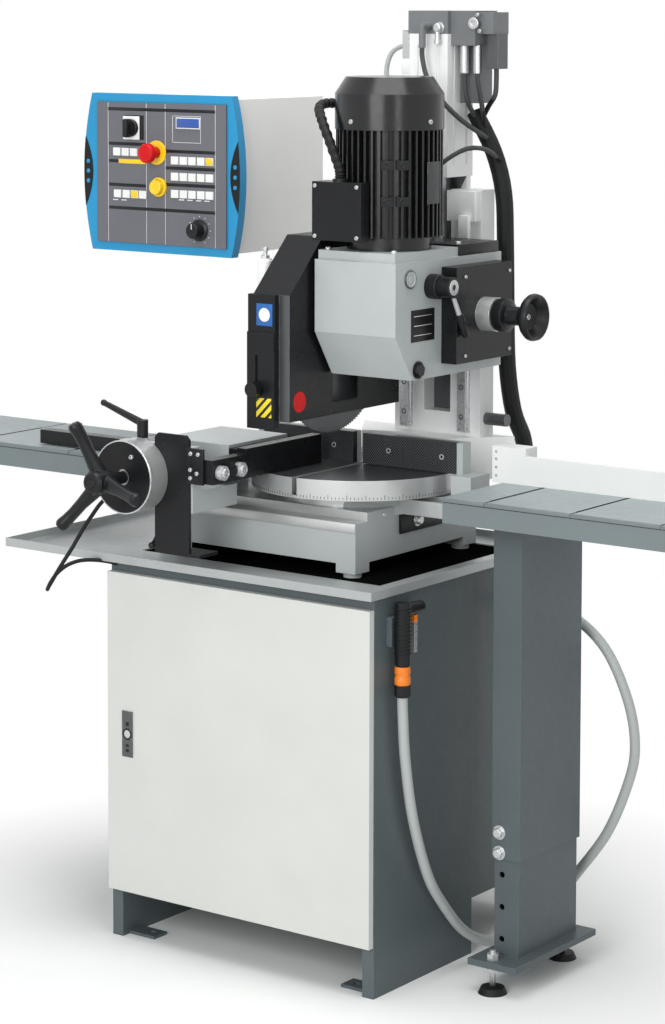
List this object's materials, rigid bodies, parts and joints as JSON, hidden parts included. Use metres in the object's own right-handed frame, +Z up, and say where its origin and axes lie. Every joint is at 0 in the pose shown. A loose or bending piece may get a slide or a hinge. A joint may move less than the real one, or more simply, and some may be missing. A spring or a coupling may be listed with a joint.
{
  "type": "cold saw",
  "caption": "Vertical-head cold saw on a cabinet with a turning turntable, sliding vise, side tables, coolant gun and a swinging control console.",
  "frame": {"origin": "floor level at the middle of the four cabinet anchor holes", "axes": "+X to the machine's right along the side tables, +Y from the door to the column, +Z up"},
  "size_m": [2.12, 0.8462, 1.843],
  "materials": {
    "cabinet_paint": "satin",
    "door_paint": "satin",
    "tray_sheet": "satin",
    "body_paint": "satin",
    "table_paint": "satin",
    "black_paint": "satin",
    "machined": "satin",
    "steel": "brushed",
    "bright_alu": "brushed",
    "blade_steel": "brushed",
    "black_plastic": "matte",
    "black_rubber": "matte",
    "grey_hose": "satin",
    "console_blue": "satin",
    "console_grey": "satin",
    "panel_grey": "matte",
    "key_white": "matte",
    "red_plastic": "gloss",
    "yellow_plastic": "gloss",
    "orange_plastic": "matte"
  },
  "bodies": {
    "base": {"cabinet": "cabinet_paint", "coolant_unit": "cabinet_paint", "drip_tray": "tray_sheet", "bed": "body_paint", "left_table": "table_paint", "right_table": "table_paint", "table_legs": "cabinet_paint", "leg_posts": "cabinet_paint", "leveling_feet": "black_rubber", "length_rule": "bright_alu", "spray_gun": "black_plastic", "wash_hose": "grey_hose", "vise_hose": "black_rubber"},
    "gun_trigger": {"gun_trigger": "orange_plastic"},
    "door": {"door": "door_paint"},
    "door_lock": {"door_lock": "steel"},
    "turret": {"turret": "machined", "column": "bright_alu", "rails": "steel", "feed_cylinder": "bright_alu", "valve_block": "black_paint", "air_hoses": "black_rubber"},
    "head": {"gearbox": "body_paint", "bearing_blocks": "steel", "motor": "black_paint", "motor_cowl": "black_paint", "terminal_box": "black_paint", "motor_conduit": "black_rubber", "feed_box": "black_paint", "feed_rod": "steel"},
    "spindle": {"spindle": "steel", "blade": "blade_steel"},
    "rotor": {"rotor": "steel"},
    "guard": {"guard": "black_paint"},
    "guard_plate": {"guard_plate": "black_paint"},
    "guard_knob": {"guard_knob": "black_plastic"},
    "speed_lever": {"speed_lever": "steel"},
    "feed_knob": {"feed_knob": "black_plastic"},
    "left_jaw": {"left_jaw": "body_paint", "left_jaw_plate": "black_paint"},
    "right_jaw": {"right_jaw": "body_paint", "right_jaw_plate": "black_paint"},
    "vise": {"vise_carriage": "body_paint", "vise_plate": "black_paint", "vise_cylinder": "bright_alu", "guide_bar": "black_paint"},
    "moving_jaw": {"moving_jaw": "body_paint", "clamp_bar": "black_paint"},
    "handwheel": {"handwheel": "black_plastic"},
    "clamp_lever": {"clamp_lever": "black_plastic"},
    "slide_lever": {"slide_lever": "black_plastic"},
    "console_arm": {"console_arm": "cabinet_paint"},
    "console": {"console_box": "console_grey", "console_frame": "console_blue", "console_panel": "panel_grey", "console_keys": "key_white"},
    "main_switch": {"main_switch": "black_plastic"},
    "estop_button": {"estop_button": "red_plastic"},
    "start_button": {"start_button": "yellow_plastic"},
    "console_knob": {"console_knob": "black_plastic"}
  },
  "joints": [
    {"name": "door_swing", "type": "hinge", "parent": "base", "child": "door", "pos_m": [0.319, -0.3102, 0.418], "axis": [0, 0, 1], "range_deg": [0, 100]},
    {"name": "door_lock_turn", "type": "hinge", "parent": "door", "child": "door_lock", "pos_m": [-0.267, -0.315, 0.418], "axis": [0, -1, 0], "range_deg": [0, 90]},
    {"name": "turret_turn", "type": "hinge", "parent": "base", "child": "turret", "pos_m": [0.05, 0.01, 0.905], "axis": [0, 0, 1], "range_deg": [-35, 45]},
    {"name": "head_feed", "type": "slide", "parent": "turret", "child": "head", "axis": [0, 0, -1], "range_m": [-0.05, 0.1]},
    {"name": "blade_spin", "type": "hinge", "parent": "head", "child": "spindle", "pos_m": [0.05, -0.077, 1.193], "axis": [1, 0, 0], "continuous": true},
    {"name": "motor_spin", "type": "hinge", "parent": "head", "child": "rotor", "pos_m": [0.185, -0.077, 1.193], "axis": [0, 0, 1], "continuous": true},
    {"name": "guard_lift", "type": "slide", "parent": "head", "child": "guard", "axis": [0, 0, 1], "range_m": [-0.03, 0.06]},
    {"name": "guard_plate_slide", "type": "slide", "parent": "guard", "child": "guard_plate", "axis": [0, 0, -1], "range_m": [0, 0.03]},
    {"name": "guard_knob_turn", "type": "hinge", "parent": "guard", "child": "guard_knob", "pos_m": [0.01904, -0.28, 1.1234], "axis": [0, 1, 0], "range_deg": [-180, 180]},
    {"name": "speed_lever_turn", "type": "hinge", "parent": "head", "child": "speed_lever", "pos_m": [0.29, -0.073, 1.31984], "axis": [1, 0, 0], "range_deg": [-45, 45]},
    {"name": "feed_knob_turn", "type": "hinge", "parent": "head", "child": "feed_knob", "pos_m": [0.33, 0.06044, 1.25821], "axis": [1, 0, 0], "range_deg": [-150, 150]},
    {"name": "left_jaw_slide", "type": "slide", "parent": "base", "child": "left_jaw", "axis": [-1, 0, 0], "range_m": [0, 0.08]},
    {"name": "right_jaw_slide", "type": "slide", "parent": "base", "child": "right_jaw", "axis": [1, 0, 0], "range_m": [0, 0.045]},
    {"name": "vise_slide", "type": "slide", "parent": "base", "child": "vise", "axis": [-1, 0, 0], "range_m": [0, 0.1], "deforming": ["vise_hose"]},
    {"name": "jaw_slide", "type": "slide", "parent": "vise", "child": "moving_jaw", "axis": [0, 1, 0], "range_m": [-0.075, 0.03]},
    {"name": "handwheel_turn", "type": "hinge", "parent": "vise", "child": "handwheel", "pos_m": [-0.2, -0.47, 0.949], "axis": [0, 1, 0], "range_deg": [-4600, 1900]},
    {"name": "clamp_lever_turn", "type": "hinge", "parent": "vise", "child": "clamp_lever", "pos_m": [-0.206, -0.349, 1.02], "axis": [0, 0, 1], "range_deg": [-60, 60]},
    {"name": "slide_lever_turn", "type": "hinge", "parent": "vise", "child": "slide_lever", "pos_m": [-0.168, -0.3292, 0.85], "axis": [1, 0, 0], "range_deg": [-35, 35]},
    {"name": "console_arm_swing", "type": "hinge", "parent": "turret", "child": "console_arm", "pos_m": [-0.009, 0.263, 1.435], "axis": [0, 0, -1], "range_deg": [0, 40]},
    {"name": "console_swivel", "type": "hinge", "parent": "console_arm", "child": "console", "pos_m": [-0.219, 0.263, 1.435], "axis": [0, 0, -1], "range_deg": [-20, 45]},
    {"name": "main_switch_turn", "type": "hinge", "parent": "console", "child": "main_switch", "pos_m": [-0.46586, -0.08, 1.60124], "axis": [0, 1, 0], "range_deg": [0, 90]},
    {"name": "estop_press", "type": "slide", "parent": "console", "child": "estop_button", "axis": [0, 1, 0], "range_m": [0, 0.006], "stiffness_N_per_m": 1500},
    {"name": "start_press", "type": "slide", "parent": "console", "child": "start_button", "axis": [0, 1, 0], "range_m": [0, 0.004], "stiffness_N_per_m": 800},
    {"name": "console_knob_turn", "type": "hinge", "parent": "console", "child": "console_knob", "pos_m": [-0.2893, -0.08, 1.39867], "axis": [0, 1, 0], "range_deg": [-150, 150]},
    {"name": "gun_trigger_press", "type": "hinge", "parent": "base", "child": "gun_trigger", "pos_m": [0.345, -0.2205, 0.7141], "axis": [-1, 0, 0], "range_deg": [0, 12], "stiffness_Nm_per_rad": 1}
  ],
  "couplings": [
    {"joint": "motor_spin", "follows": "blade_spin", "ratio": -1.5},
    {"joint": "guard_lift", "follows": "head_feed", "ratio": 0.6},
    {"joint": "handwheel_turn", "follows": "jaw_slide", "rad_per_m": 1047.2}
  ]
}
